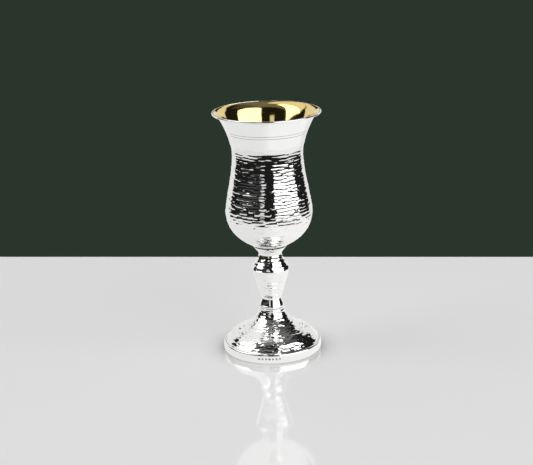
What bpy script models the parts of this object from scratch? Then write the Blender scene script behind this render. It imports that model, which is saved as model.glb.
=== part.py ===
"""Footed silver goblet, gilt inside, built the way a church cup is: separate turned pieces on a tie rod.

Units are metres, +Z is up, and the origin is the centre of the foot's underside.
The cup screws onto the top of the tie rod, and a nut inside the hollow foot clamps the foot to the stem.
Drawing sizes below are in millimetres, as (radius, height) from the middle of the foot's underside.
"""

import math

import bmesh
import bpy
from mathutils import Vector

MM = 0.001

# Driving sizes, mm
HEIGHT = 190.5            # whole height, foot to rim
RIM_RADIUS = 42.0         # outermost edge of the flared lip
BAND_RADIUS = 38.6        # widest line of the foot's plain band
BAND_HEIGHT = 7.6
SEAT_HEIGHT = 75.3        # top of the knop, which the cup's washer rests on
GAP = 0.3                 # solder or running gap between neighbouring pieces
BOWL_WALL = 0.9
LINING_WALL = 0.3
FOOT_WALL = 1.0
KNOP_WALL = 1.0
COLLAR_WALL = 0.9
LIP_THICKNESS = BOWL_WALL + GAP + LINING_WALL

# M6 tie rod and its fittings, mm
ROD_RADIUS = 3.0
ROD_BOTTOM = 23.7
ROD_TOP = 83.7
ROD_CHAMFER = 0.5
ROD_HOLE = ROD_RADIUS + GAP
NUT_ACROSS_FLATS = 10.0
NUT_THICKNESS = 5.0
LOCKNUT_THICKNESS = 2.6
TUBE_WALL = 1.2

# Heights and radii of the hidden pieces, mm
BOWL_BOTTOM = 84.4
WASHER_THICKNESS = 0.7
WASHER_RADII = (6.4, 9.0)
KNOP_PLATE_RADIUS = 8.1
FOOT_PLATE_RADIUS = 8.4
BEAD_INNER_RADIUS = 8.8
BAND_INNER_RADIUS = 34.9
BOSS_RADIUS = 5.6
BOSS_FLANGE_RADIUS = 9.6
PLATE_THICKNESS = 2.0
FOOT_PLATE_BOTTOM = 33.0
FOOT_WASHER_THICKNESS = 0.8
FOOT_WASHER_RADIUS = 6.2
BOSS_BOTTOM = 79.0
BOSS_FLANGE_BOTTOM = 82.0

SEGMENTS = 40             # flats round the large turned pieces
SMALL_SEGMENTS = 24       # flats round the rod and what fits on it
SMOOTH_ANGLE = math.radians(40)

# Outer outlines, mm, each from the bottom up
BOWL_OUTSIDE = [
    (12.2, BOWL_BOTTOM), (15.0, 86.0), (21.6, 90.0), (27.2, 95.0), (31.3, 101.0),
    (33.5, 108.0), (33.7, 115.0), (32.3, 124.0), (30.4, 134.0), (28.6, 144.0), (27.4, 155.0),
    (28.1, 164.5), (30.3, 173.0), (33.7, 181.0), (36.8, 186.2), (39.3, 188.3),
]
DOME_OUTSIDE = [
    (36.9, BAND_HEIGHT + GAP), (34.3, 11.0), (30.2, 15.0), (20.2, 20.0), (13.5, 26.0), (10.7, 30.5),
    (9.8, 34.0),
]
BEAD_OUTSIDE = [(9.5, 34.3), (9.9, 35.5), (9.5, 36.7)]
RING_OUTSIDE = [(9.5, 37.0), (8.6, 39.0), (7.9, 41.5)]
KNOP_LOWER_OUTSIDE = [(7.9, 41.8), (9.4, 46.0), (11.0, 52.0), (13.0, 58.0), (14.2, 63.0), (14.9, 66.0)]
KNOP_UPPER_OUTSIDE = [(14.9, 66.3), (13.9, 69.0), (11.9, 72.0), (9.7, SEAT_HEIGHT)]
COLLAR_OUTSIDE = [(9.4, 76.6), (8.9, 77.9), (9.7, 79.8), (11.3, 81.8), (13.3, BOWL_BOTTOM - GAP)]


# ---------------------------------------------------------------- scene and materials

def clear_scene():
    for obj in list(bpy.data.objects):
        bpy.data.objects.remove(obj, do_unlink=True)


def finish(name, colour, roughness, metallic):
    """A Principled material of one plain finish."""
    material = bpy.data.materials.new(name)
    material.use_nodes = True
    shader = material.node_tree.nodes["Principled BSDF"]
    shader.inputs["Base Color"].default_value = (*colour, 1.0)
    shader.inputs["Roughness"].default_value = roughness
    shader.inputs["Metallic"].default_value = metallic
    material.diffuse_color = (*colour, 1.0)
    return material


def make_materials():
    return {
        "hammered_silver": finish("hammered_silver", (0.90, 0.89, 0.86), 0.14, 1.0),
        "plain_silver": finish("plain_silver", (0.93, 0.92, 0.90), 0.08, 1.0),
        "gilt": finish("gilt", (0.95, 0.68, 0.28), 0.12, 1.0),
        "brass": finish("brass", (0.79, 0.61, 0.28), 0.3, 1.0),
        "steel": finish("steel", (0.56, 0.56, 0.57), 0.35, 1.0),
        "leather": finish("leather", (0.10, 0.06, 0.04), 0.7, 0.0),
    }


# ---------------------------------------------------------------- outlines

def curve(points, steps):
    """A smooth line through the points (Catmull-Rom), with the given number of steps between each pair."""
    path = [Vector(point) for point in points]
    path = [2 * path[0] - path[1], *path, 2 * path[-1] - path[-2]]
    line = []
    for i in range(1, len(path) - 2):
        before, start, end, after = path[i - 1:i + 3]
        for step in range(steps):
            t = step / steps
            line.append(0.5 * (2 * start + (end - before) * t
                               + (2 * before - 5 * start + 4 * end - after) * t ** 2
                               + (3 * start - before - 3 * end + after) * t ** 3))
    line.append(path[-2])
    return line


def inward(line, distance):
    """The line moved sideways by a wall thickness, to its own left: towards the axis on a rising line."""
    moved = []
    for i, point in enumerate(line):
        ahead = line[min(i + 1, len(line) - 1)]
        behind = line[max(i - 1, 0)]
        along = (ahead - behind).normalized()
        moved.append(point + distance * Vector((-along.y, along.x)))
    return moved


def arc(centre, radius, start_deg, end_deg, steps):
    """Points on an arc, both ends included."""
    points = []
    for step in range(steps + 1):
        angle = math.radians(start_deg + (end_deg - start_deg) * step / steps)
        points.append(Vector((centre[0] + radius * math.cos(angle), centre[1] + radius * math.sin(angle))))
    return points


def shell(outside, wall, steps):
    """A closed outline of even thickness, with level ends, round a line that rises up the outer side."""
    outer = curve(outside, steps)
    inner = inward(outer, wall)
    inner[0] = Vector((inner[0].x, outer[0].y))
    inner[-1] = Vector((inner[-1].x, outer[-1].y))
    return outer + inner[::-1]


def short_of_lip(line):
    """The line with its last point drawn back, so that the lining stops a gap short of the lip's edge."""
    shortened = list(line)
    shortened[-1] = line[-1] + GAP * 1.3 * (line[-2] - line[-1]).normalized()
    return shortened


def ring(inner_radius, outer_radius, bottom, top):
    """The outline of a plain flat ring or tube."""
    return [(outer_radius, bottom), (outer_radius, top), (inner_radius, top), (inner_radius, bottom)]


# ---------------------------------------------------------------- solids

def add_object(name, mesh, material, base, body):
    """Links a mesh as a named piece, standing at its base height on the axis, under its body's empty."""
    mesh.materials.append(material)
    obj = bpy.data.objects.new(name, mesh)
    bpy.context.collection.objects.link(obj)
    obj.parent = body
    obj.location.z = base * MM - body.location.z
    return obj


def add_body(name, height):
    """An empty on the goblet's axis that a group of pieces hangs from and turns about."""
    body = bpy.data.objects.new(name, None)
    body.empty_display_size = 0.01
    body.location.z = height * MM
    bpy.context.collection.objects.link(body)
    return body


def turned(name, outline, material, body, segments=SEGMENTS):
    """A turned piece: the closed outline, anticlockwise in radius and height, spun about the axis."""
    base = min(point[1] for point in outline)
    bm = bmesh.new()
    verts = [bm.verts.new((point[0] * MM, 0.0, (point[1] - base) * MM)) for point in outline]
    edges = []
    for i, vert in enumerate(verts):
        following = verts[(i + 1) % len(verts)]
        if vert.co.x > 0 or following.co.x > 0:
            edges.append(bm.edges.new((vert, following)))
    bmesh.ops.spin(bm, geom=verts + edges, axis=(0, 0, 1), cent=(0, 0, 0), angle=math.tau,
                   steps=segments, use_merge=True)
    bmesh.ops.remove_doubles(bm, verts=bm.verts, dist=1e-7)
    bmesh.ops.recalc_face_normals(bm, faces=bm.faces)
    mesh = bpy.data.meshes.new(name)
    bm.to_mesh(mesh)
    bm.free()
    mesh.shade_smooth()
    mesh.set_sharp_from_angle(angle=SMOOTH_ANGLE)
    return add_object(name, mesh, material, base, body)


def prism(name, corners, radius, height):
    """A mesh of an upright prism with its base at zero."""
    bm = bmesh.new()
    bmesh.ops.create_cone(bm, cap_ends=True, segments=corners, radius1=radius * MM, radius2=radius * MM,
                          depth=height * MM)
    bmesh.ops.translate(bm, verts=bm.verts, vec=(0, 0, height * MM / 2))
    mesh = bpy.data.meshes.new(name)
    bm.to_mesh(mesh)
    bm.free()
    return mesh


def hex_nut(name, bottom, thickness, material, body):
    """A plain hexagon nut, bored to clear the rod's thread."""
    corner_radius = NUT_ACROSS_FLATS / 2 / math.cos(math.pi / 6)
    nut = add_object(name, prism(name, 6, corner_radius, thickness), material, bottom, body)
    overrun = 1.0
    cutter = bpy.data.objects.new(name + "_cutter",
                                  prism(name + "_cutter", SMALL_SEGMENTS, ROD_HOLE, thickness + 2 * overrun))
    cutter.parent = nut
    cutter.location.z = -overrun * MM
    cutter.hide_render = True
    cutter.display_type = "WIRE"
    bpy.context.collection.objects.link(cutter)
    bore = nut.modifiers.new("bore", "BOOLEAN")
    bore.operation = "DIFFERENCE"
    bore.object = cutter
    return nut


# ---------------------------------------------------------------- the goblet's pieces

def make_foot(materials, stem):
    """Plain foot band, hammered foot dome and the brass plate soldered in the dome's throat."""
    band_outer = [(36.9, 0.0), (38.3, 1.8), (BAND_RADIUS, 3.8), (38.2, 5.9), (37.2, BAND_HEIGHT)]
    band = [(BAND_INNER_RADIUS, 0.0), *band_outer, (BAND_INNER_RADIUS, BAND_HEIGHT)]
    turned("foot_band", band, materials["plain_silver"], stem)
    turned("foot_dome", shell(DOME_OUTSIDE, FOOT_WALL, 2), materials["hammered_silver"], stem)
    plate = ring(ROD_HOLE, FOOT_PLATE_RADIUS, FOOT_PLATE_BOTTOM, FOOT_PLATE_BOTTOM + PLATE_THICKNESS)
    turned("foot_plate", plate, materials["brass"], stem)


def make_stem(materials, stem):
    """Bead, ring and the two halves of the knop, threaded on the tie rod like beads."""
    bead_bottom = BEAD_OUTSIDE[0][1]
    bead_top = BEAD_OUTSIDE[-1][1]
    bead = [*curve(BEAD_OUTSIDE, 2), (BEAD_INNER_RADIUS, bead_top), (BEAD_INNER_RADIUS, bead_bottom)]
    turned("stem_bead", bead, materials["plain_silver"], stem)
    turned("stem_ring", shell(RING_OUTSIDE, KNOP_WALL, 1), materials["plain_silver"], stem)
    turned("knop_lower", shell(KNOP_LOWER_OUTSIDE, KNOP_WALL, 1), materials["hammered_silver"], stem)
    turned("knop_upper", shell(KNOP_UPPER_OUTSIDE, KNOP_WALL, 1), materials["hammered_silver"], stem)


def make_core(materials, stem):
    """The hidden load path: rod, spacer tube, knop plate and the thin nut that locks the rod."""
    plate_bottom = SEAT_HEIGHT - PLATE_THICKNESS
    tube_bottom = FOOT_PLATE_BOTTOM + PLATE_THICKNESS + GAP
    turned("knop_top_plate", ring(ROD_HOLE, KNOP_PLATE_RADIUS, plate_bottom, SEAT_HEIGHT),
           materials["brass"], stem)
    turned("spacer_tube", ring(ROD_HOLE, ROD_HOLE + TUBE_WALL, tube_bottom, plate_bottom - GAP),
           materials["brass"], stem, SMALL_SEGMENTS)
    rod_outline = [
        (0.0, ROD_BOTTOM), (ROD_RADIUS - ROD_CHAMFER, ROD_BOTTOM), (ROD_RADIUS, ROD_BOTTOM + ROD_CHAMFER),
        (ROD_RADIUS, ROD_TOP - ROD_CHAMFER), (ROD_RADIUS - ROD_CHAMFER, ROD_TOP), (0.0, ROD_TOP),
    ]
    turned("tie_rod", rod_outline, materials["steel"], stem, SMALL_SEGMENTS)
    hex_nut("stem_locknut", SEAT_HEIGHT + GAP, LOCKNUT_THICKNESS, materials["brass"], stem)


def make_foot_fittings(materials, washer_body, nut_body):
    """The washer and nut inside the hollow foot."""
    washer_top = FOOT_PLATE_BOTTOM - GAP
    washer_bottom = washer_top - FOOT_WASHER_THICKNESS
    turned("foot_washer", ring(ROD_HOLE, FOOT_WASHER_RADIUS, washer_bottom, washer_top),
           materials["brass"], washer_body, SMALL_SEGMENTS)
    hex_nut("foot_nut", washer_bottom - GAP - NUT_THICKNESS, NUT_THICKNESS, materials["brass"], nut_body)


def make_cup(materials, cup):
    """Hammered bowl with its flared lip, gilt lining, collar and the brass boss that screws on the rod."""
    edge_radius = LIP_THICKNESS / 2
    edge_centre = (RIM_RADIUS - edge_radius, HEIGHT - edge_radius)
    lip = arc(edge_centre, edge_radius, -70, 90, 3)
    outer = curve(BOWL_OUTSIDE + [tuple(lip[0])], 1)
    bowl_inside = inward(outer, BOWL_WALL)
    bowl_floor = BOWL_BOTTOM + BOWL_WALL
    bowl_inside[0].y = bowl_floor
    bowl = [Vector((0.0, BOWL_BOTTOM)), *outer, *lip[1:], *bowl_inside[::-1], Vector((0.0, bowl_floor))]
    turned("cup_bowl", bowl, materials["hammered_silver"], cup)

    lining_bottom = bowl_floor + GAP
    lining_floor = lining_bottom + LINING_WALL
    lining_outer = short_of_lip(inward(outer, BOWL_WALL + GAP))
    lining_inner = short_of_lip(inward(outer, LIP_THICKNESS))
    lining_outer[0].y = lining_bottom
    lining_inner[0].y = lining_floor
    lining = [Vector((0.0, lining_bottom)), *lining_outer, *lining_inner[::-1], Vector((0.0, lining_floor))]
    turned("gilt_lining", lining, materials["gilt"], cup)

    turned("cup_collar", shell(COLLAR_OUTSIDE, COLLAR_WALL, 1), materials["plain_silver"], cup)
    boss_top = BOWL_BOTTOM - GAP
    boss = [
        (ROD_HOLE, BOSS_BOTTOM), (BOSS_RADIUS, BOSS_BOTTOM), (BOSS_RADIUS, BOSS_FLANGE_BOTTOM),
        (BOSS_FLANGE_RADIUS, BOSS_FLANGE_BOTTOM), (BOSS_FLANGE_RADIUS, boss_top), (ROD_HOLE, boss_top),
    ]
    turned("cup_boss", boss, materials["brass"], cup, SMALL_SEGMENTS)


def main():
    clear_scene()
    materials = make_materials()
    washer_bottom = SEAT_HEIGHT + GAP
    washer_top = washer_bottom + WASHER_THICKNESS
    stem = add_body("stem", 0.0)
    seat_washer = add_body("seat_washer_body", washer_bottom)
    cup = add_body("cup", washer_top)
    foot_washer = add_body("foot_washer_body", FOOT_PLATE_BOTTOM)
    foot_nut = add_body("foot_nut_body", ROD_BOTTOM)
    make_foot(materials, stem)
    make_stem(materials, stem)
    make_core(materials, stem)
    make_foot_fittings(materials, foot_washer, foot_nut)
    turned("seat_washer", ring(*WASHER_RADII, washer_bottom, washer_top), materials["leather"], seat_washer)
    make_cup(materials, cup)


main()
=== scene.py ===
"""Looks of a hammered silver goblet, gilt inside, on a knopped stem and a domed foot.

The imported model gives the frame. Every silver piece is a fine turned mesh whose hammer marks, engraved lines
and punches are real relief, and every metal is a node material. Lengths are in millimetres until MM scales
them to metres.
"""

import math

import bpy
import numpy as np
from mathutils import Matrix, Vector


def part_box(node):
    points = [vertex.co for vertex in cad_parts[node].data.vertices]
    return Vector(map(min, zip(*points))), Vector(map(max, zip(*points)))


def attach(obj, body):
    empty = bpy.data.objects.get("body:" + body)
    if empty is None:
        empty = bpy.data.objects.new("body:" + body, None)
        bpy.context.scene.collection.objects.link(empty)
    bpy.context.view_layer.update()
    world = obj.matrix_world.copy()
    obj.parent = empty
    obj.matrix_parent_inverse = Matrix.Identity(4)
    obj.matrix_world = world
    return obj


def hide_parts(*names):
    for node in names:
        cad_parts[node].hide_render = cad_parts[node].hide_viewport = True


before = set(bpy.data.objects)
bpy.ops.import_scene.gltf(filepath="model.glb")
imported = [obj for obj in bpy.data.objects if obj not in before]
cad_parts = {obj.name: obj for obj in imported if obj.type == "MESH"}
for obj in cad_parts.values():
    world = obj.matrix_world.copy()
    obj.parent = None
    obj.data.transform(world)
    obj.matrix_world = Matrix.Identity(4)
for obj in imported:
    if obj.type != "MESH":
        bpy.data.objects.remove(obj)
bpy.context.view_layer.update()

MM = 0.001
TAU = math.tau

# Outer outlines of the turned pieces, mm, as (radius, height), each from the bottom up
BOWL_OUTSIDE = [
    (12.2, 84.4), (15.0, 86.0), (21.6, 90.0), (27.2, 95.0), (31.3, 101.0),
    (33.5, 108.0), (33.7, 115.0), (32.3, 124.0), (30.4, 134.0), (28.6, 144.0), (27.45, 154.5),
    (27.5, 161.5), (28.3, 165.5), (30.4, 173.0), (33.7, 181.0), (36.6, 186.2), (39.0, 188.3), (41.1, 189.05),
]
LIP_CENTRE = (40.85, 189.75)      # middle of the lip's rounded edge
LIP_RADIUS = 0.75
DOME_OUTSIDE = [
    (36.9, 7.65), (34.6, 10.3), (30.2, 15.0), (20.2, 20.0), (13.5, 26.0), (10.7, 30.5), (9.8, 34.25),
]
KNOP_LOWER_OUTSIDE = [(7.9, 41.6), (9.4, 46.0), (11.0, 52.0), (13.0, 58.0), (14.2, 63.0), (14.9, 66.1)]
KNOP_UPPER_OUTSIDE = [(14.9, 66.2), (13.9, 69.0), (11.9, 72.0), (9.7, 75.3)]
COLLAR_OUTSIDE = [(9.4, 76.4), (8.9, 77.9), (9.7, 79.8), (11.3, 81.8), (13.3, 84.35)]
BEAD_OUTSIDE = [(9.3, 34.3), (9.75, 34.7), (9.9, 35.5), (9.75, 36.3), (9.3, 36.75)]
RING_OUTSIDE = [(9.5, 36.9), (8.6, 39.0), (7.9, 41.5)]
BAND_OUTSIDE = [(36.9, 0.0), (38.2, 1.3), (38.6, 3.6), (38.45, 6.0), (38.1, 7.15), (37.2, 7.6)]
BAND_INNER_RADIUS = 34.9

# Walls and gaps, mm
BOWL_WALL = 0.9
LINING_DEPTH = 1.2        # from the bowl's outside to the back of the gilding
LINING_FACE = 1.5         # from the bowl's outside to the gilt surface
SILVER_WALL = 1.0

# Hammer marks, mm: long shallow blows in nearly level rows
HAMMER_PITCH = 2.4        # between rows
HAMMER_LENGTH = 4.6       # between the middles of neighbouring blows in a row
HAMMER_DEPTH = 0.30
HAMMERED_FLOOR = 86.5     # heights between which the bowl is hammered
HAMMERED_TOP = 165.5
BOWL_FORCE = [            # how hard the blows fall on the bowl, as (height, share of the depth)
    (87, 0.35), (93, 0.5), (98, 1.05), (106, 1.3), (126, 1.3), (140, 1.1), (153, 0.8), (165, 0.4),
]
KNOP_HAMMER = {"length": 3.1, "depth": 0.24, "wander": 0.24}
FOOT_HAMMER = {"length": 3.3, "depth": 0.26, "wander": 0.28, "pitch": 2.3}
ROW_STEP = 0.40           # mesh spacing over the hammering
BOWL_COLUMNS = 320        # mesh columns round the bowl and the foot
FINE_COLUMNS = 240        # round the knop and the gilding
PLAIN_COLUMNS = 160       # round the plain pieces

# Engraved lines under the lip and punches on the foot band, mm
ENGRAVED_HEIGHTS = (175.0, 177.0)
ENGRAVED_DEPTH = 0.12
ENGRAVED_WIDTH = 0.16
PUNCHES = ["lozenge", "round", "square", "oval", "round", "lozenge", "square"]
PUNCH_SIZE = 0.8
PUNCH_SPACING = 2.7
PUNCH_DEPTH = 0.12
PUNCHES_SHIFT = -2.8      # the row's middle, round the band from the front

# M6 rod and what fits on it, mm
THREAD_PITCH = 1.0
THREAD_DEPTH = 0.55
THREAD_LENGTH = 12.0      # at each end of the rod
ROD_HOLE = 3.3            # radius of the holes in the plates and washers
NUT_BORE = 3.15
SEAT_WASHER_BORE = 6.4


# ---------------------------------------------------------------- outlines

class Outline:
    """A smooth turned outline, in mm, that is read by the distance along it."""

    def __init__(self, points, steps=60):
        path = np.array(points, float)
        path = np.vstack([2 * path[0] - path[1], path, 2 * path[-1] - path[-2]])
        t = (np.arange(steps) / steps)[:, None]
        spans = []
        for before, start, end, after in zip(path, path[1:], path[2:], path[3:]):
            spans.append(0.5 * (2 * start + (end - before) * t
                                + (2 * before - 5 * start + 4 * end - after) * t ** 2
                                + (3 * start - before - 3 * end + after) * t ** 3))
        self.points = np.vstack([*spans, path[-2:-1]])
        self.lengths = np.concatenate([[0.0], np.cumsum(np.hypot(*np.diff(self.points, axis=0).T))])
        self.total = self.lengths[-1]

    def at(self, along):
        """Points at these distances along the outline."""
        return np.stack([np.interp(along, self.lengths, self.points[:, k]) for k in (0, 1)], axis=1)

    def normals(self, along):
        """Outward directions at these distances, for an outline that rises up the outer side."""
        reach = 0.2
        tangent = self.at(np.minimum(along + reach, self.total)) - self.at(np.maximum(along - reach, 0.0))
        tangent /= np.hypot(*tangent.T)[:, None]
        return np.stack([tangent[:, 1], -tangent[:, 0]], axis=1)

    def inside(self, along, depth):
        """The outline moved towards the axis by a wall's thickness."""
        return self.at(along) - depth * self.normals(along)

    def along_at(self, height):
        """The distance along the outline at which it first reaches a height."""
        return self.lengths[np.argmax(self.points[:, 1] >= height)]


def spaced(start, stop, step):
    """Even distances from start to stop, about a step apart, both ends included."""
    return np.linspace(start, stop, max(2, round((stop - start) / step) + 1))


def even_angles(columns):
    """The angles of this many columns round a full turn."""
    return np.arange(columns) * TAU / columns


# ---------------------------------------------------------------- meshes

def revolve(name, rings, angles, painted_shade_mask=None):
    """A turned mesh from rings of (radius, height) in mm, up the outer side and down the inner.

    rings is (rings, 2), or (rings, columns, 2) where the section changes round the piece. A ring of zero
    radius is a single point on the axis. Without one, the last ring joins the first.
    """
    rings = np.asarray(rings, float)
    if rings.ndim == 2:
        rings = np.repeat(rings[:, None, :], len(angles), axis=1)
    columns = len(angles)
    around = np.stack([np.cos(angles), np.sin(angles)], axis=1)
    verts = []
    values = []
    starts = []
    for index, ring in enumerate(rings):
        starts.append((len(verts), ring[0, 0] < 1e-6))
        ring_shade_mask = np.zeros(columns) if painted_shade_mask is None else painted_shade_mask[index]
        if ring[0, 0] < 1e-6:
            verts.append((0.0, 0.0, ring[0, 1] * MM))
            values.append(0.0)
            continue
        for (radius, height), (x, y), value in zip(ring, around, ring_shade_mask):
            verts.append((radius * x * MM, radius * y * MM, height * MM))
            values.append(float(value))
    pairs = list(zip(starts, starts[1:]))
    if not any(pole for _, pole in starts):
        pairs.append((starts[-1], starts[0]))
    faces = []
    for (low, low_pole), (high, high_pole) in pairs:
        if low_pole and high_pole:
            continue
        for j in range(columns):
            k = (j + 1) % columns
            if low_pole:
                faces.append((low, high + k, high + j))
            elif high_pole:
                faces.append((low + j, low + k, high))
            else:
                faces.append((low + j, low + k, high + k, high + j))
    mesh = bpy.data.meshes.new(name)
    mesh.from_pydata(verts, [], faces)
    mesh.shade_smooth()
    mesh.set_sharp_from_angle(angle=math.radians(50))
    # The mask of the painted shade, kept on the points for the metal materials
    if painted_shade_mask is not None:
        layer = mesh.attributes.new("painted_shade_mask", "FLOAT", "POINT")
        layer.data.foreach_set("value", values)
    obj = bpy.data.objects.new(name, mesh)
    bpy.context.scene.collection.objects.link(obj)
    return obj


def lifted(points, normals, lift):
    """Rings moved along their outward normals by lift, which is (rings, columns) in mm."""
    return points[:, None, :] + lift[:, :, None] * normals[:, None, :]


def hammer_dents(along, radii, angles, start, stop, seed, pitch=HAMMER_PITCH, length=HAMMER_LENGTH,
                 depth=HAMMER_DEPTH, ragged=0.0, force=None, wander=0.17):
    """Depth in mm, over rings and columns, of rows of long blows between two distances along an outline.

    The deepest blow wins at each point, so neighbouring blows meet in sharp, uneven ridges. force is a pair
    of lists, distances along the outline and how hard the blows fall there. wander is how far a blow strays
    from its row, as a share of the pitch, and ragged is how unevenly the last rows end, in mm.
    """
    rng = np.random.default_rng(seed)
    field = np.zeros((len(along), len(angles)))
    rows = round((stop - start) / pitch)
    for row in range(rows):
        # Each row sways slowly round the piece
        row_centre = start + (row + 0.5) * (stop - start) / rows
        radius = np.interp(row_centre, along, radii)
        count = max(7, round(TAU * radius / length))
        phase = rng.random()
        sway = rng.uniform(0, TAU, 2)
        strength = depth * (np.interp(row_centre, *force) if force else 1.0)
        for blow in range(count):
            # Where the blow lands, unless it would reach past the last row
            angle = TAU * (blow + phase + rng.uniform(-0.22, 0.22)) / count
            wave = 0.25 * math.sin(3 * angle + sway[0]) + 0.22 * math.sin(8 * angle + sway[1])
            centre = row_centre + wave + rng.normal(0, wander) * pitch
            if centre + abs(rng.normal(0, ragged)) > stop:
                continue
            # Its size, and its hollow: nearly flat along its length, a parabola across it
            half_length = length * rng.uniform(0.68, 0.9)
            half_width = pitch * rng.uniform(0.65, 0.74)
            tilt = rng.normal(0, 0.2 * wander)
            low, high = np.searchsorted(along, (centre - 1.2 * half_width, centre + 1.2 * half_width))
            offset = (angles - angle + math.pi) % TAU - math.pi
            near = np.flatnonzero(np.abs(offset) * radius < half_length)
            across = radius * offset[near][None, :]
            up = (along[low:high] - centre)[:, None] - tilt * across
            along_blow = (across / half_length) ** 2
            dent = strength * rng.uniform(0.86, 1.14) * (1 - 0.3 * along_blow - 0.7 * along_blow ** 4
                                                        - (up / half_width) ** 2)
            patch = field[low:high, near]
            field[low:high, near] = np.maximum(patch, dent)
    return field


def ridges(field):
    """Where the dents meet, as the mask of the painted shade: 1 on a ridge or flat, 0 at the bottom of a blow.
    """
    top = field.max() or 1.0
    return 1 - np.clip(field / (0.6 * top), 0, 1)


def hand_wobble(along, angles, amount, seed):
    """The slow unevenness of a hand-raised surface, in mm."""
    rng = np.random.default_rng(seed)
    field = np.zeros((len(along), len(angles)))
    for turns in (2, 3, 5, 7, 9):
        wave = rng.uniform(12, 30)
        phase = rng.uniform(0, TAU, 2)
        field += np.outer(np.sin(along * TAU / wave + phase[0]), np.sin(turns * angles + phase[1])) / turns
    return amount * field


# ---------------------------------------------------------------- silver pieces

def hammered_bowl():
    """Raised bowl: hammered belly, plain lip band with two engraved lines, and a rounded lip."""
    outline = Outline(BOWL_OUTSIDE)
    hammer_start = outline.along_at(HAMMERED_FLOOR)
    hammer_stop = outline.along_at(HAMMERED_TOP)
    engraved = [outline.along_at(height) for height in ENGRAVED_HEIGHTS]
    along = np.unique(np.concatenate([
        spaced(0.0, hammer_stop + 2.0, ROW_STEP), spaced(hammer_stop + 2.0, outline.total, 1.5),
        *[line + np.linspace(-0.5, 0.5, 11) for line in engraved]]))
    angles = even_angles(BOWL_COLUMNS)
    points = outline.at(along)
    force = ([outline.along_at(height) for height, _ in BOWL_FORCE], [factor for _, factor in BOWL_FORCE])
    dents = hammer_dents(along, points[:, 0], angles, hammer_start, hammer_stop, seed=11, ragged=0.9,
                         force=force)
    lift = -dents + hand_wobble(along, angles, 0.05, seed=12)
    for line in engraved:
        lift -= ENGRAVED_DEPTH * np.exp(-((along - line) / ENGRAVED_WIDTH) ** 2)[:, None]
    calm = np.clip((outline.total - along) / 12.0, 0, 1)[:, None]
    lift *= np.where(along[:, None] > engraved[-1] + 1, calm, 1.0)
    outer = lifted(points, outline.normals(along), lift)

    lip_angles = np.radians(np.linspace(-60, 90, 9))
    lip = np.array(LIP_CENTRE) + LIP_RADIUS * np.stack([np.cos(lip_angles), np.sin(lip_angles)], axis=1)
    inner_along = spaced(0.0, outline.total, 8.0)[::-1]
    inner = outline.inside(inner_along, BOWL_WALL)
    floor = [(0.0, BOWL_OUTSIDE[0][1] + BOWL_WALL)]
    rest = np.vstack([lip, inner, floor])
    rings = np.concatenate([
        np.repeat(np.array([[[0.0, BOWL_OUTSIDE[0][1]]]]), BOWL_COLUMNS, axis=1),
        outer, np.repeat(rest[:, None, :], BOWL_COLUMNS, axis=1)])
    # Mask of the painted shade along the ridges between blows
    painted_shade_mask = np.zeros(rings.shape[:2])
    painted_shade_mask[1:1 + len(along)] = np.where(dents > 0, ridges(dents), 0)
    return revolve("hammered_bowl", rings, angles, painted_shade_mask)


def gilt_inside():
    """The polished gilding inside the bowl, flush with the lip."""
    outline = Outline(BOWL_OUTSIDE)
    end = outline.total - 0.4
    along = spaced(0.0, end, 1.1)
    angles = even_angles(FINE_COLUMNS)
    back = outline.inside(spaced(0.0, end, 4.0), LINING_DEPTH)
    face = outline.inside(along, LINING_FACE)
    back_floor = BOWL_OUTSIDE[0][1] + LINING_DEPTH
    face_floor = BOWL_OUTSIDE[0][1] + LINING_FACE
    back[0, 1] = back_floor
    face[0, 1] = face_floor
    normals = outline.normals(along)
    face_rings = lifted(face, normals, hand_wobble(along, angles, 0.02, seed=21))[::-1]
    rings = np.concatenate([
        np.repeat(np.vstack([[[0.0, back_floor]], back])[:, None, :], FINE_COLUMNS, axis=1),
        face_rings, np.repeat(np.array([[[0.0, face_floor]]]), FINE_COLUMNS, axis=1)])
    return revolve("gilt_inside", rings, angles)


def hammered_shell(name, outside, columns, seed, wobble=0.03, **hammer):
    """A hammered silver shell that is open at both ends, with a plain inner wall."""
    outline = Outline(outside)
    along = spaced(0.0, outline.total, ROW_STEP)
    angles = even_angles(columns)
    points = outline.at(along)
    dents = hammer_dents(along, points[:, 0], angles, 0.0, outline.total, seed, **hammer)
    edge = np.clip(np.minimum(along, outline.total - along) / 0.8, 0, 1)[:, None]
    lift = (-dents + hand_wobble(along, angles, wobble, seed + 1)) * edge
    outer = lifted(points, outline.normals(along), lift)
    inner_along = spaced(0.0, outline.total, 3.0)[::-1]
    inner = outline.inside(inner_along, SILVER_WALL)
    inner[0, 1] = points[-1, 1]
    inner[-1, 1] = points[0, 1]
    rings = np.concatenate([outer, np.repeat(inner[:, None, :], columns, axis=1)])
    # Mask of the painted shade along the ridges between blows
    painted_shade_mask = np.zeros(rings.shape[:2])
    painted_shade_mask[:len(along)] = ridges(dents) * edge
    return revolve(name, rings, angles, painted_shade_mask)


def plain_shell(name, outside, wall, step=0.4, columns=PLAIN_COLUMNS):
    """A plain turned silver shell with a wall of even thickness."""
    outline = Outline(outside)
    along = spaced(0.0, outline.total, step)
    outer = outline.at(along)
    inner = outline.inside(along[::-2], wall)
    inner[0, 1] = outer[-1, 1]
    inner[-1, 1] = outer[0, 1]
    return revolve(name, np.vstack([outer, inner]), even_angles(columns))


def punch(x, y, shape, size):
    """How far a small plain punch sinks at (x, y), from 0 to 1: a simple outline with a raised middle."""
    if shape == "lozenge":
        outside = (np.abs(x) + np.abs(y)) * 0.75 - size
    elif shape == "square":
        outside = np.maximum(np.abs(x), np.abs(y)) - 0.85 * size
    elif shape == "oval":
        outside = np.hypot(0.75 * x, y) - size
    else:
        outside = np.hypot(x, y) - size
    edge = 0.12
    sunk = np.clip(-outside / edge, 0, 1)
    raised = np.clip((0.38 * size - np.hypot(x, y)) / edge, 0, 1)
    return sunk * (1 - 0.8 * raised)


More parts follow.
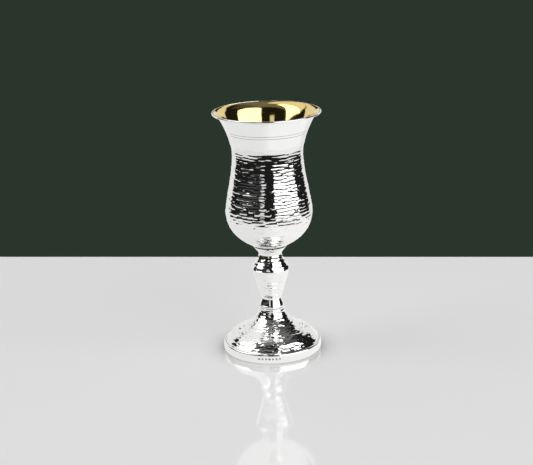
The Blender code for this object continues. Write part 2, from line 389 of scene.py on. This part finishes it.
def foot_wire():
    """The plain rounded band round the foot, with a row of small generic punches at the front."""
    outline = Outline(BAND_OUTSIDE)
    along = spaced(0.0, outline.total, 0.12)
    front = -math.pi / 2
    half_fine = math.radians(20)
    coarse = np.linspace(front + half_fine, front - half_fine + TAU, 200, endpoint=False)
    fine = np.linspace(front - half_fine, front + half_fine, 220, endpoint=False)
    angles = np.concatenate([fine, coarse])
    points = outline.at(along)
    middle = 0.53 * outline.total
    first = PUNCHES_SHIFT - PUNCH_SPACING * (len(PUNCHES) - 1) / 2
    width = ((angles - front + math.pi) % TAU - math.pi) * points[:, 0].max()
    lift = np.zeros((len(along), len(angles)))
    for index, shape in enumerate(PUNCHES):
        x = width[None, :] - (first + index * PUNCH_SPACING)
        y = (along - middle)[:, None]
        lift -= PUNCH_DEPTH * punch(x, y, shape, PUNCH_SIZE)
    outer = lifted(points, outline.normals(along), lift)
    corner = 0.25
    inner = np.array([
        (BAND_INNER_RADIUS + corner, points[-1, 1]), (BAND_INNER_RADIUS, points[-1, 1] - corner),
        (BAND_INNER_RADIUS, points[0, 1] + corner), (BAND_INNER_RADIUS + corner, points[0, 1])])
    rings = np.concatenate([outer, np.repeat(inner[:, None, :], len(angles), axis=1)])
    # Mask of the painted shade in the punches
    painted_shade_mask = np.zeros(rings.shape[:2])
    painted_shade_mask[:len(along)] = -lift / PUNCH_DEPTH
    return revolve("foot_wire", rings, angles, painted_shade_mask)


# ---------------------------------------------------------------- fittings

def flat_ring(name, node, bore=ROD_HOLE, edge=0.15, columns=96):
    """A flat ring with eased edges in the place of a CAD node, with its own bore."""
    low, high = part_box(node)
    outer = high.x / MM
    bottom = low.z / MM
    top = high.z / MM
    section = [
        (outer - edge, bottom), (outer, bottom + edge), (outer, top - edge), (outer - edge, top),
        (bore + edge, top), (bore, top - edge), (bore, bottom + edge), (bore + edge, bottom),
    ]
    return revolve(name, section, even_angles(columns))


def hexagon_nut(name, node, bore=NUT_BORE, edge=0.35):
    """A hexagon nut with chamfered corners and a countersunk bore, in the place of a CAD nut."""
    low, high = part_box(node)
    size_x = (high.x - low.x) / MM
    size_y = (high.y - low.y) / MM
    across_flats = min(size_x, size_y)
    first_flat = math.pi / 6 if size_y < size_x else 0.0
    bottom = low.z / MM
    top = high.z / MM
    angles = even_angles(96)
    to_flat = (angles - first_flat + math.pi / 6) % (TAU / 6) - math.pi / 6
    side = across_flats / 2 / np.cos(to_flat)
    chamfer_start = across_flats / 2 * 0.97
    drop = (side - chamfer_start) * math.tan(math.radians(30))
    level = np.ones_like(angles)
    section = [
        (level * chamfer_start, level * bottom), (side, bottom + drop), (side, top - drop),
        (level * chamfer_start, level * top), (level * (bore + edge), level * top),
        (level * bore, level * (top - edge)), (level * bore, level * (bottom + edge)),
        (level * (bore + edge), level * bottom),
    ]
    rings = np.array([np.stack(pair, axis=1) for pair in section])
    nut = revolve(name, rings, angles)
    nut.data.set_sharp_from_angle(angle=math.radians(20))
    return nut


def threaded_rod():
    """The tie rod, with a real right-hand thread cut on each end."""
    low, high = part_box("tie_rod")
    radius = high.x / MM
    bottom = low.z / MM
    top = high.z / MM
    chamfer = 0.6
    angles = even_angles(48)
    low_end = bottom + THREAD_LENGTH
    high_end = top - THREAD_LENGTH + 1.0
    heights = np.concatenate([
        spaced(bottom, low_end, 0.1), spaced(low_end + 1.0, high_end - 1.0, 4.0), spaced(high_end, top, 0.1)])
    phase = (heights[:, None] / THREAD_PITCH - angles[None, :] / TAU) % 1.0
    groove = THREAD_DEPTH * np.clip(1.15 - np.abs(2 * phase - 1) * 1.3, 0, 1)
    threaded = (heights < low_end) | (heights > high_end)
    groove *= threaded[:, None]
    from_end = np.minimum(heights - bottom, top - heights)[:, None]
    edge = radius - chamfer + np.minimum(from_end, chamfer)
    radii = np.minimum(radius - groove, edge)
    side = np.stack([radii, np.repeat(heights[:, None], len(angles), axis=1)], axis=2)
    ends = [np.repeat(np.array([[[0.0, z]]]), len(angles), axis=1) for z in (bottom, top)]
    return revolve("threaded_rod", np.concatenate([ends[0], side, ends[1]]), angles)


# ---------------------------------------------------------------- materials

class Nodes:
    """A short way to build a node tree."""

    def __init__(self, tree):
        self.tree = tree

    def add(self, kind, values=None, **settings):
        node = self.tree.nodes.new(kind)
        for key, value in settings.items():
            setattr(node, key, value)
        for key, value in (values or {}).items():
            if isinstance(value, bpy.types.NodeSocket):
                self.tree.links.new(value, node.inputs[key])
            else:
                node.inputs[key].default_value = value
        return node

    def math(self, operation, *values):
        node = self.add("ShaderNodeMath", dict(enumerate(values)), operation=operation)
        return node.outputs[0]

    def dot(self, vector, direction):
        node = self.add("ShaderNodeVectorMath", {0: vector, 1: direction}, operation="DOT_PRODUCT")
        return node.outputs["Value"]

    def band(self, value, low, high, soft):
        """1 where value lies between low and high, with soft edges."""
        rise = self.add("ShaderNodeMapRange", {0: value, 1: low - soft, 2: low + soft},
                        interpolation_type="SMOOTHSTEP")
        fall = self.add("ShaderNodeMapRange", {0: value, 1: high - soft, 2: high + soft, 3: 1.0, 4: 0.0},
                        interpolation_type="SMOOTHSTEP")
        return self.math("MULTIPLY", rise.outputs[0], fall.outputs[0])

    def noise(self, vector, scale, detail=3.0, roughness=0.5):
        return self.add("ShaderNodeTexNoise", {"Vector": vector, "Scale": scale, "Detail": detail,
                                               "Roughness": roughness}).outputs["Fac"]

    def stretch(self, vector, scale):
        return self.add("ShaderNodeVectorMath", {0: vector, 1: scale}, operation="MULTIPLY").outputs[0]

    def mix(self, factor, a, b):
        """A colour between a and b."""
        node = self.add("ShaderNodeMix", {0: factor, 6: a, 7: b}, data_type="RGBA")
        return node.outputs[2]

    def remap(self, value, low, high):
        """A value from 0 to 1 spread over low to high."""
        return self.add("ShaderNodeMapRange", {0: value, 3: low, 4: high}).outputs[0]


def metal(name, bright, dull, roughness, spread, line_scale, line_depth, painted_shade=0.0):
    """Polished or turned metal: two close tones, uneven polish, and fine lines left by the lathe.

    The roughness varies by spread to either side. The lines are about line_scale to the metre and line_depth
    metres deep. painted_shade is how far the mesh's painted_shade_mask attribute darkens the punches and the
    ridges between blows: painted shade, not a tone of the metal.
    """
    material = bpy.data.materials.new(name)
    material.use_nodes = True
    shader = material.node_tree.nodes["Principled BSDF"]
    nodes = Nodes(material.node_tree)
    place = nodes.add("ShaderNodeTexCoord").outputs["Object"]
    cloud = nodes.noise(place, 60.0, 4.0, 0.6)
    smear = nodes.noise(nodes.stretch(place, (90.0, 90.0, 500.0)), 1.0, 3.0)
    lines = nodes.noise(nodes.stretch(place, (40.0, 40.0, line_scale)), 1.0, 2.0)
    rough = nodes.remap(smear, roughness - spread, roughness + spread)
    colour = nodes.mix(cloud, (*bright, 1), (*dull, 1))
    # Painted shade: the punches and the ridges between blows are darkened towards near black, and made a
    # little rougher
    if painted_shade:
        painted_shade_mask = nodes.add("ShaderNodeAttribute", attribute_name="painted_shade_mask").outputs["Fac"]
        rough = nodes.math("ADD", rough, nodes.math("MULTIPLY", painted_shade_mask, 0.03))
        colour = nodes.mix(nodes.math("MULTIPLY", painted_shade_mask, painted_shade), colour, (0.06, 0.06, 0.06, 1))
    material.node_tree.links.new(colour, shader.inputs["Base Color"])
    material.node_tree.links.new(rough, shader.inputs["Roughness"])
    bump = nodes.add("ShaderNodeBump", {"Height": lines, "Strength": 1.0, "Distance": line_depth})
    material.node_tree.links.new(bump.outputs[0], shader.inputs["Normal"])
    shader.inputs["Metallic"].default_value = 1.0
    return material


def leather_material():
    """Dark vegetable-tanned leather with a fine grain."""
    material = bpy.data.materials.new("washer_leather")
    material.use_nodes = True
    shader = material.node_tree.nodes["Principled BSDF"]
    nodes = Nodes(material.node_tree)
    place = nodes.add("ShaderNodeTexCoord").outputs["Object"]
    grain = nodes.add("ShaderNodeTexVoronoi", {"Vector": place, "Scale": 2600.0}).outputs["Distance"]
    cloud = nodes.noise(place, 400.0, 4.0)
    colour = nodes.mix(cloud, (0.045, 0.025, 0.015, 1), (0.12, 0.07, 0.045, 1))
    material.node_tree.links.new(colour, shader.inputs["Base Color"])
    material.node_tree.links.new(nodes.remap(grain, 0.55, 0.8), shader.inputs["Roughness"])
    bump = nodes.add("ShaderNodeBump", {"Height": grain, "Strength": 0.6, "Distance": 0.00006})
    material.node_tree.links.new(bump.outputs[0], shader.inputs["Normal"])
    return material


def dress(obj, material):
    """Gives an object one material in place of any that it has."""
    obj.data.materials.clear()
    obj.data.materials.append(material)


# ---------------------------------------------------------------- studio

FLOOR_BACK = 0.2371       # the pale table ends this far behind the goblet
FLOOR_BACK_TURN = -5.2    # degrees: its back edge is a little askew to the axes
FLOOR_FRONT = 0.34        # and this far in front of it, with rounded corners
FLOOR_HALF_WIDTH = 0.52
FLOOR_ROUNDNESS = 0.5     # 1 would be an ellipse, 0 a rectangle
FLOOR_GLOW = 0.93         # share of its own light, which keeps the table even
CONTACT_REACH = 0.018     # how far from the foot its soft contact shade reaches
CONTACT_SHADE = 0.30      # share of that light that is left right beside the foot
CARD_GLOW = (0.84, 0.97)  # strength of the card that the silver mirrors, left and right of the goblet
CARD_BLEND = 0.06         # half the width over which it changes
LAMP_WHITE = (1.0, 1.0, 0.995, 1)


def table_outline():
    """The table top: a straight back edge and rounded front corners."""
    slope = math.tan(math.radians(FLOOR_BACK_TURN))
    corners = [(x, FLOOR_BACK + slope * x) for x in (FLOOR_HALF_WIDTH, -FLOOR_HALF_WIDTH)]
    front = []
    for angle in np.linspace(math.pi, TAU, 49):
        x = FLOOR_HALF_WIDTH * math.copysign(abs(math.cos(angle)) ** FLOOR_ROUNDNESS, math.cos(angle))
        front.append((x, -FLOOR_FRONT * abs(math.sin(angle)) ** FLOOR_ROUNDNESS))
    return corners + front


def flat_sheet(name, height, material):
    """A flat piece of the studio with the table's outline, at a height in metres."""
    outline = table_outline()
    mesh = bpy.data.meshes.new(name)
    mesh.from_pydata([(x, y, height) for x, y in outline], [], [tuple(range(len(outline)))])
    mesh.materials.append(material)
    obj = bpy.data.objects.new(name, mesh)
    bpy.context.scene.collection.objects.link(obj)
    return obj


def floor_material():
    """Smooth pale laminate, evenly lit by its own glow, with a faint sheen and a painted contact shadow round
    the foot.
    """
    material = bpy.data.materials.new("pale_table")
    material.use_nodes = True
    shader = material.node_tree.nodes["Principled BSDF"]
    nodes = Nodes(material.node_tree)
    place = nodes.add("ShaderNodeTexCoord").outputs["Object"]
    cloud = nodes.noise(place, 3.0, 2.0)
    colour = nodes.mix(cloud, (0.46, 0.46, 0.46, 1), (0.47, 0.47, 0.47, 1))
    material.node_tree.links.new(colour, shader.inputs["Base Color"])
    material.node_tree.links.new(colour, shader.inputs["Emission Color"])
    # Painted contact shadow: the floor's glow is dimmed where ambient occlusion finds the foot close by
    openness = nodes.add("ShaderNodeAmbientOcclusion", {"Distance": CONTACT_REACH}).outputs["AO"]
    least = CONTACT_SHADE * FLOOR_GLOW
    glow = nodes.add("ShaderNodeMapRange", {0: openness, 1: 0.5, 3: least, 4: FLOOR_GLOW})
    material.node_tree.links.new(glow.outputs[0], shader.inputs["Emission Strength"])
    shader.inputs["Roughness"].default_value = 0.06
    shader.inputs["Specular IOR Level"].default_value = 0.8
    return material


def card_material(name, left, right):
    """A glowing white card, whose strength goes from left to right of the goblet."""
    material = bpy.data.materials.new(name)
    material.use_nodes = True
    tree = material.node_tree
    tree.nodes.clear()
    nodes = Nodes(tree)
    x = nodes.add("ShaderNodeSeparateXYZ", {0: nodes.add("ShaderNodeTexCoord").outputs["Object"]}).outputs[0]
    strength = nodes.add("ShaderNodeMapRange", {0: x, 1: -CARD_BLEND, 2: CARD_BLEND, 3: left, 4: right},
                         interpolation_type="SMOOTHSTEP").outputs[0]
    glow = nodes.add("ShaderNodeEmission", {"Color": LAMP_WHITE, "Strength": strength})
    out = nodes.add("ShaderNodeOutputMaterial")
    tree.links.new(glow.outputs[0], out.inputs[0])
    return material


# Flat soft panels round the goblet, for the metal to mirror. Each faces it from a compass direction in
# degrees (0 is the camera's side, + is to the right). Its edges are tangents of the angles across and up from
# there: name, facing, (left, right), (bottom, top), brightness, softness of the edges
PANELS = [
    ("right softbox", 35, (-0.34, 1.40), (0.01, 1.38), 2.4, 0.02),
    ("left softbox", -80, (-0.47, 0.34), (0.51, 3.4), 2.4, 0.03),
    ("strip beside the camera", -17, (-0.12, 0.11), (0.06, 0.75), 0.75, 0.03),
    ("dim left wall", -62, (-0.75, 0.75), (0.14, 0.45), 0.07, 0.05),
    ("dim right wall", 80, (-0.9, 1.0), (1.2, 9.0), 0.085, 0.2),
    ("white back of the tent", 180, (-1.00, 1.45), (-9.0, 0.9), 0.85, 0.08),
    ("low right of the tent", 105, (-0.60, 0.70), (-9.0, -0.32), 0.85, 0.03),
    ("low left of the tent", -105, (-0.70, 0.50), (-9.0, -0.32), 0.85, 0.03),
    ("upper left of the tent", 200, (-0.2, 1.4), (0.8, 9.0), 0.9, 0.1),
]
# The tent's open back, which leaves the table's sheen clear: (left, right), (bottom, top), softness
BACK_GAP = ((-0.25, 0.25), (0.27, 0.56), 0.02)
CEILING_ACROSS = (-0.9, 0.4)    # reach of the grey ceiling to the left and right of overhead, as tangents
CEILING_ALONG = (-0.62, 0.9)    # and towards the camera and away from it
CEILING_BRIGHTNESS = 0.17
ROOM_DARK = 0.012
BACKDROP_GREEN = (0.0232, 0.0369, 0.0252, 1)


def flat_panel(nodes, way, facing, across, up, soft):
    """1 inside a flat upright rectangle that faces the goblet from a compass direction, and 0 outside it."""
    turn = math.radians(facing)
    ahead = nodes.dot(way, (math.sin(turn), -math.cos(turn), 0))
    beside = nodes.dot(way, (math.cos(turn), math.sin(turn), 0))
    height = nodes.dot(way, (0, 0, 1))
    near = nodes.math("MAXIMUM", ahead, 0.001)
    wide = nodes.band(nodes.math("DIVIDE", beside, near), *across, soft)
    tall = nodes.band(nodes.math("DIVIDE", height, near), *up, soft)
    inside = nodes.math("MULTIPLY", wide, tall)
    return nodes.math("MULTIPLY", inside, nodes.math("GREATER_THAN", ahead, 0.0))


def studio_world():
    """A dark room with soft panels for the metal to mirror, and a plain dark green backdrop behind it all."""
    world = bpy.data.worlds.new("studio")
    bpy.context.scene.world = world
    world.use_nodes = True
    tree = world.node_tree
    tree.nodes.clear()
    nodes = Nodes(tree)
    way = nodes.add("ShaderNodeTexCoord").outputs["Generated"]
    x, y, z = nodes.add("ShaderNodeSeparateXYZ", {0: way}).outputs
    height = nodes.math("MAXIMUM", z, 0.001)
    ceiling = nodes.math("MULTIPLY", nodes.band(nodes.math("DIVIDE", x, height), *CEILING_ACROSS, 0.15),
                         nodes.band(nodes.math("DIVIDE", y, height), *CEILING_ALONG, 0.15))
    ceiling = nodes.math("MULTIPLY", ceiling, nodes.math("GREATER_THAN", z, 0.0))
    light = nodes.math("MULTIPLY", ceiling, CEILING_BRIGHTNESS)
    for _, facing, across, up, brightness, soft in PANELS:
        panel = flat_panel(nodes, way, facing, across, up, soft)
        light = nodes.math("MAXIMUM", light, nodes.math("MULTIPLY", panel, brightness))
    gap = flat_panel(nodes, way, 180, *BACK_GAP)
    light = nodes.math("MULTIPLY", light, nodes.math("SUBTRACT", 1.0, gap))
    light = nodes.math("MAXIMUM", light, ROOM_DARK)
    studio = nodes.add("ShaderNodeBackground", {"Color": LAMP_WHITE, "Strength": light})
    backdrop = nodes.add("ShaderNodeBackground", {"Color": BACKDROP_GREEN, "Strength": 1.0})
    seen = nodes.add("ShaderNodeLightPath").outputs["Is Camera Ray"]
    mixed = nodes.add("ShaderNodeMixShader", {0: seen, 1: studio.outputs[0], 2: backdrop.outputs[0]})
    out = nodes.add("ShaderNodeOutputWorld")
    tree.links.new(mixed.outputs[0], out.inputs[0])


def make_camera():
    """The reference view: a long lens, a little above the goblet, tipped a degree and a half."""
    place = Vector((0.0, -1.0, 0.389))
    aim = Vector((-0.00243, 0.0, 0.0945))
    tip = math.radians(-1.6)
    data = bpy.data.cameras.new("camera")
    data.lens = 90.6
    data.sensor_width = 36.0
    data.clip_start = 0.01
    camera = bpy.data.objects.new("camera", data)
    turn = (aim - place).to_track_quat("-Z", "Y").to_matrix().to_4x4()
    camera.matrix_world = Matrix.Translation(place) @ turn @ Matrix.Rotation(tip, 4, "Z")
    bpy.context.scene.collection.objects.link(camera)
    bpy.context.scene.camera = camera


def make_stage():
    """The table, the white card under it that the goblet mirrors, the studio round them and the camera."""
    floor = flat_sheet("floor", 0.0, floor_material())
    floor.visible_glossy = False
    card = flat_sheet("bounce_card", -0.0005, card_material("bounce_card", *CARD_GLOW))
    card.visible_camera = False
    card.visible_diffuse = False
    card.visible_shadow = False
    studio_world()
    make_camera()
    bpy.context.scene.view_settings.view_transform = "Standard"


# ---------------------------------------------------------------- the goblet

def make_goblet():
    """Makes every visible piece, and puts each on its body in the place of its CAD node."""
    hammered = metal("hammered_silver", (0.95, 0.95, 0.94), (0.88, 0.88, 0.87), 0.06, 0.025, 5200.0,
                     0.0000015, painted_shade=0.12)
    polished = metal("plain_silver", (0.96, 0.96, 0.95), (0.89, 0.89, 0.88), 0.05, 0.02, 7000.0,
                     0.0000015, painted_shade=0.85)
    gilt = metal("gilt", (0.93, 0.75, 0.32), (0.82, 0.61, 0.22), 0.07, 0.03, 6000.0, 0.000002)
    brass = metal("turned_brass", (0.83, 0.64, 0.31), (0.66, 0.48, 0.21), 0.27, 0.08, 4200.0, 0.000012)
    steel = metal("rod_steel", (0.62, 0.62, 0.63), (0.44, 0.44, 0.46), 0.3, 0.08, 4200.0, 0.000008)
    leather = leather_material()

    pieces = [
        (hammered_bowl(), "cup", "cup_bowl", hammered),
        (gilt_inside(), "cup", "gilt_lining", gilt),
        (plain_shell("plain_collar", COLLAR_OUTSIDE, BOWL_WALL), "cup", "cup_collar", polished),
        (flat_ring("leather_washer", "seat_washer", SEAT_WASHER_BORE), "seat_washer", "seat_washer", leather),
        (hammered_shell("knop_cap", KNOP_UPPER_OUTSIDE, FINE_COLUMNS, seed=41, **KNOP_HAMMER),
         "stem", "knop_upper", hammered),
        (hammered_shell("knop_vase", KNOP_LOWER_OUTSIDE, FINE_COLUMNS, seed=51, **KNOP_HAMMER),
         "stem", "knop_lower", hammered),
        (plain_shell("flared_ring", RING_OUTSIDE, SILVER_WALL), "stem", "stem_ring", polished),
        (plain_shell("bead_wire", BEAD_OUTSIDE, SILVER_WALL, 0.2), "stem", "stem_bead", polished),
        (hammered_shell("hammered_foot", DOME_OUTSIDE, BOWL_COLUMNS, seed=61, **FOOT_HAMMER),
         "stem", "foot_dome", hammered),
        (foot_wire(), "stem", "foot_band", polished),
        (threaded_rod(), "stem", "tie_rod", steel),
        (hexagon_nut("lock_nut", "stem_locknut"), "stem", "stem_locknut", brass),
        (flat_ring("throat_plate", "foot_plate"), "stem", "foot_plate", brass),
        (flat_ring("knop_plate", "knop_top_plate"), "stem", "knop_top_plate", brass),
        (flat_ring("nut_washer", "foot_washer"), "foot_washer", "foot_washer", brass),
        (hexagon_nut("clamp_nut", "foot_nut"), "foot_nut", "foot_nut", brass),
    ]
    for piece, body, node, material in pieces:
        dress(piece, material)
        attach(piece, body)
        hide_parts(node)
    for node in ("spacer_tube", "cup_boss"):
        dress(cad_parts[node], brass)


make_goblet()
make_stage()
